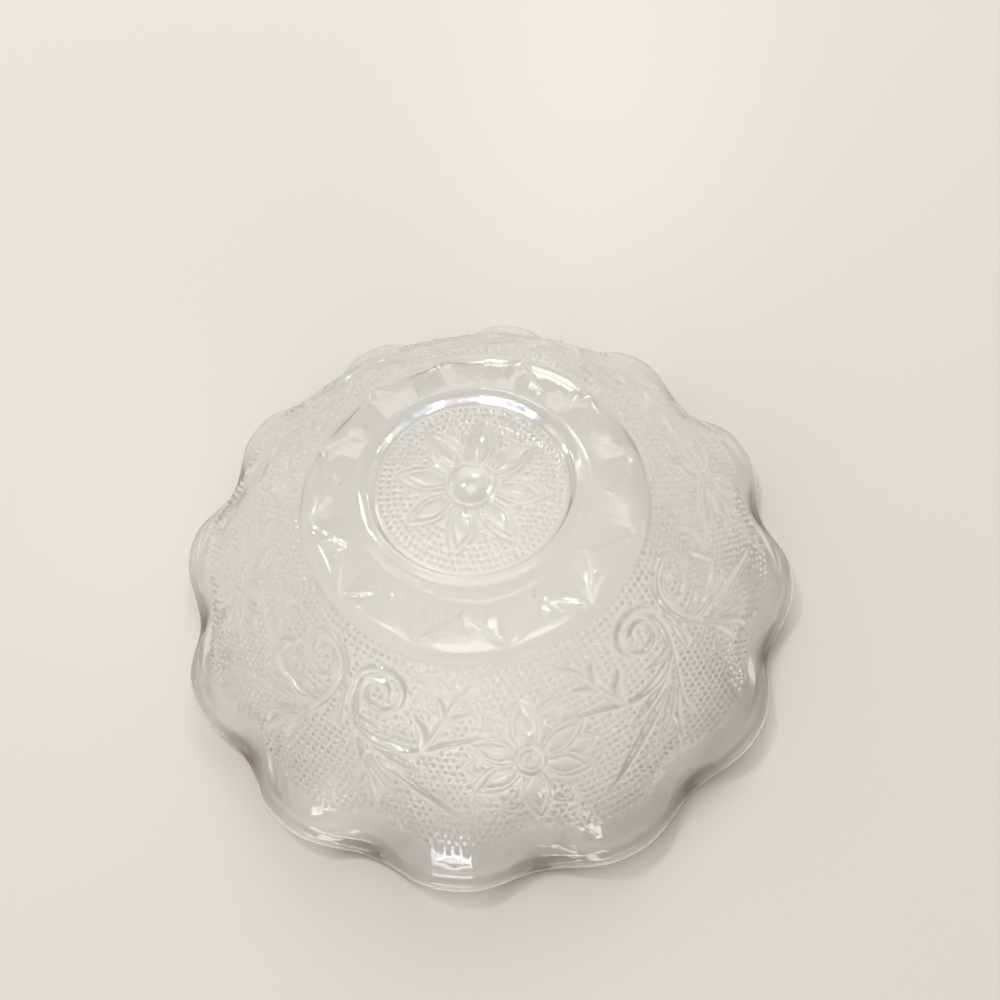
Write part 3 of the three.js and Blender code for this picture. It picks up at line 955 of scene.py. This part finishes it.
# %% The glass material
GLASS_IOR = 1.5
CHILLED_SHARE, CHILLED_ROUGHNESS = 0.27, 0.29
RIPPLES, SCUFFS = 90.0, 1400.0   # scales of the two noises
WORN_BAND = 0.35                 # height of the worn top of the foot ring
POLISH, WEAR = 0.01, 0.16        # roughness of polished and of worn glass
SCUFF_SPAN = (0.3, 0.7)          # from the first noise value that dulls to the last


def make_glass(material):
    material.use_nodes = True
    tree = material.node_tree
    tree.nodes.clear()
    place = outlet(tree, "ShaderNodeTexCoord", "Object")
    level = outlet(tree, "ShaderNodeSeparateXYZ", "Z", [place])
    ripple = add(tree, "ShaderNodeTexNoise", {"Vector": place, "Scale": RIPPLES, "Detail": 2.0})
    bump = add(tree, "ShaderNodeBump", {"Height": ripple, "Strength": 0.25, "Distance": 0.2 * MM})
    scuff = add(tree, "ShaderNodeTexNoise", {"Vector": place, "Scale": SCUFFS, "Detail": 4.0})
    on_foot = mapped(tree, level, (FOOT_TOP - WORN_BAND) * MM, FOOT_TOP * MM, 0.0, 1.0)
    worn = sums(tree, "MULTIPLY", on_foot, scuff)
    dull = mapped(tree, worn, *SCUFF_SPAN, POLISH, WEAR)
    polished = add(tree, "ShaderNodeBsdfPrincipled", {
        "Base Color": (0.985, 0.99, 0.98, 1), "Roughness": dull, "IOR": GLASS_IOR,
        "Transmission Weight": 1.0, "Normal": bump})
    chilled = add(tree, "ShaderNodeBsdfRefraction", {
        "Color": (1, 1, 1, 1), "Roughness": CHILLED_ROUGHNESS, "IOR": GLASS_IOR, "Normal": bump})
    inside = outlet(tree, "ShaderNodeNewGeometry", "Backfacing")
    share = mapped(tree, inside, 0.0, 1.0, CHILLED_SHARE, 0.0)
    body = add(tree, "ShaderNodeMixShader", [share, polished, chilled])
    passing = on_its_way_to_the_table(tree)
    either = add(tree, "ShaderNodeMixShader", [passing, body, lamp_filter(tree, level)])
    end = tree.nodes.new("ShaderNodeOutputMaterial")
    tree.links.new(either, end.inputs["Surface"])


make_glass(glass)
bowl.data.materials.clear()
bowl.data.materials.append(glass)
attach(bowl, "root")
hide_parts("bowl")
print("glass on", bowl.name)

# %% [markdown]
# ## Table and camera
# The bowl lies on a plain pale table, which shows through every part of it.
# The camera looks down steeply from the front, as a phone held over a table does. Its place and its lens
# were fitted to the lobes and notches of the rim, so the picture can be laid over the photograph.

# %% The table
TABLE = 1.6          # from its middle to its edge, in metres
TABLE_COLOUR = (0.79, 0.765, 0.70)
table_corners = [(-TABLE, -TABLE, 0), (TABLE, -TABLE, 0), (TABLE, TABLE, 0), (-TABLE, TABLE, 0)]
table_mesh = bpy.data.meshes.new("table_top")
table_mesh.from_pydata(table_corners, [], [(0, 1, 2, 3)])
table = into_scene("table_top", table_mesh)
paint = bpy.data.materials.new("pale_table")
paint.use_nodes = True
surface = paint.node_tree.nodes["Principled BSDF"]
surface.inputs["Base Color"].default_value = (*TABLE_COLOUR, 1)
surface.inputs["Roughness"].default_value = 0.4
surface.inputs["Specular IOR Level"].default_value = 0.3
table_mesh.materials.append(paint)
print("table", 2 * TABLE, "m wide")

# %% The camera
TURN = math.radians(102.94)  # from the camera's own frame, where it stands at -Y, to the bowl's frame
PITCH, YAW, ROLL = 1.06714, 0.0595228, 0.0998536
FOCAL_PIXELS, PIXELS = 901.147, 1000
SENSOR = 36
CAMERA_PLACE = (0.0, -80.05, 176.72)   # in millimetres, in its own frame
forward = Vector((math.sin(YAW) * math.cos(PITCH), math.cos(YAW) * math.cos(PITCH), -math.sin(PITCH)))
right = Vector((math.cos(YAW), -math.sin(YAW), 0))
below = forward.cross(right)
across = right * math.cos(ROLL) + below * math.sin(ROLL)
under = below * math.cos(ROLL) - right * math.sin(ROLL)
eye = Vector(CAMERA_PLACE) * MM
stand = Matrix((across, -under, -forward)).transposed().to_4x4()
stand.translation = eye
camera_data = bpy.data.cameras.new("camera")
camera_data.sensor_width = SENSOR
camera_data.lens = SENSOR * FOCAL_PIXELS / PIXELS
camera_data.clip_start = 0.01
camera = into_scene("camera", camera_data)
camera.matrix_world = Matrix.Rotation(TURN, 4, "Z") @ stand
bpy.context.scene.camera = camera
print(f"lens {camera_data.lens:.2f} mm, camera {eye.length:.3f} m from the middle of the table")

# %% [markdown]
# ## Light
# Glass shows what is round it, so an even white room would make it vanish. This room is pale, but darker
# along the horizon, which draws the edges of the glass, darker overhead, and darkest above the front, where
# the viewer stands. Soft lamps do the rest: the foot and the near wall mirror a long low one at the front,
# like a window, and the collar mirrors one in the ceiling. Two smaller ones at the back give crisp
# highlights and the shadow along the near side of the rim. Light that is caught inside a glass wall bounces
# many times before it leaves, so the limits on bounces go up.

# %% The pale room
COOL, WARM = (0.98, 0.99, 1.0), (1.0, 0.975, 0.94)
BOUNCES = 32
DARK_SIDE = (0.1, -0.72, 0.69)   # towards the dark above the front, in the camera's own frame
scene = bpy.context.scene
scene.view_settings.view_transform = "Standard"
for limit in ("max_bounces", "glossy_bounces", "transmission_bounces", "transparent_max_bounces"):
    setattr(scene.cycles, limit, BOUNCES)
world = bpy.data.worlds.new("pale_room")
scene.world = world
world.use_nodes = True
sky = world.node_tree
sky.nodes.clear()
facing = outlet(sky, "ShaderNodeTexCoord", "Generated")
elevation = outlet(sky, "ShaderNodeSeparateXYZ", "Z", [facing])


def room_direction(aim):
    """A direction given in the camera's own frame, in the bowl's frame."""
    return Matrix.Rotation(TURN, 3, "Z") @ Vector(aim).normalized()


towards_dark = add(sky, "ShaderNodeVectorMath", [facing, room_direction(DARK_SIDE)], operation="DOT_PRODUCT")
horizon = mapped(sky, elevation, 0.0, 0.4, 0.45, 0.92, "SMOOTHSTEP")
overhead = mapped(sky, elevation, 0.3, 0.95, 1.0, 0.4, "SMOOTHSTEP")
dark_side = mapped(sky, towards_dark, 0.45, 0.9, 1.0, 0.15, "SMOOTHSTEP")
room = sums(sky, "MULTIPLY", sums(sky, "MULTIPLY", horizon, overhead), dark_side)
glow = add(sky, "ShaderNodeBackground", {"Color": (*COOL, 1), "Strength": room})
end = sky.nodes.new("ShaderNodeOutputWorld")
sky.links.new(glow, end.inputs["Surface"])
print("room with", len(sky.nodes), "nodes")

# %% The lamps
WATTS = 4            # for each square metre of a lamp that shines as bright as a white of 1


def softbox(name, aim, distance, size, radiance, colour):
    """A soft lamp that looks at the bowl from a direction in the camera's own frame."""
    data = bpy.data.lights.new(name, "AREA")
    data.shape = "RECTANGLE"
    data.size, data.size_y = size
    data.energy = WATTS * size[0] * size[1] * radiance
    data.color = colour
    lamp = into_scene(name, data)
    lamp.location = room_direction(aim) * distance
    lamp.rotation_euler = (-lamp.location).to_track_quat("-Z", "Y").to_euler()
    print(name, "at", [round(x, 2) for x in lamp.location], "m,", round(data.energy, 1), "W")


softbox("front_lamp", (-0.34, -0.94, 0.17), distance=3.0, size=(2.2, 0.3), radiance=7.5, colour=COOL)
softbox("ceiling_lamp", (-0.05, 0.12, 0.99), distance=1.5, size=(0.7, 0.7), radiance=2.4, colour=COOL)
softbox("left_lamp", (-0.33, 0.42, 0.85), distance=1.5, size=(0.22, 0.22), radiance=30.0, colour=WARM)
softbox("back_lamp", (0.2, 0.75, 0.63), distance=1.5, size=(0.4, 0.4), radiance=7.0, colour=WARM)
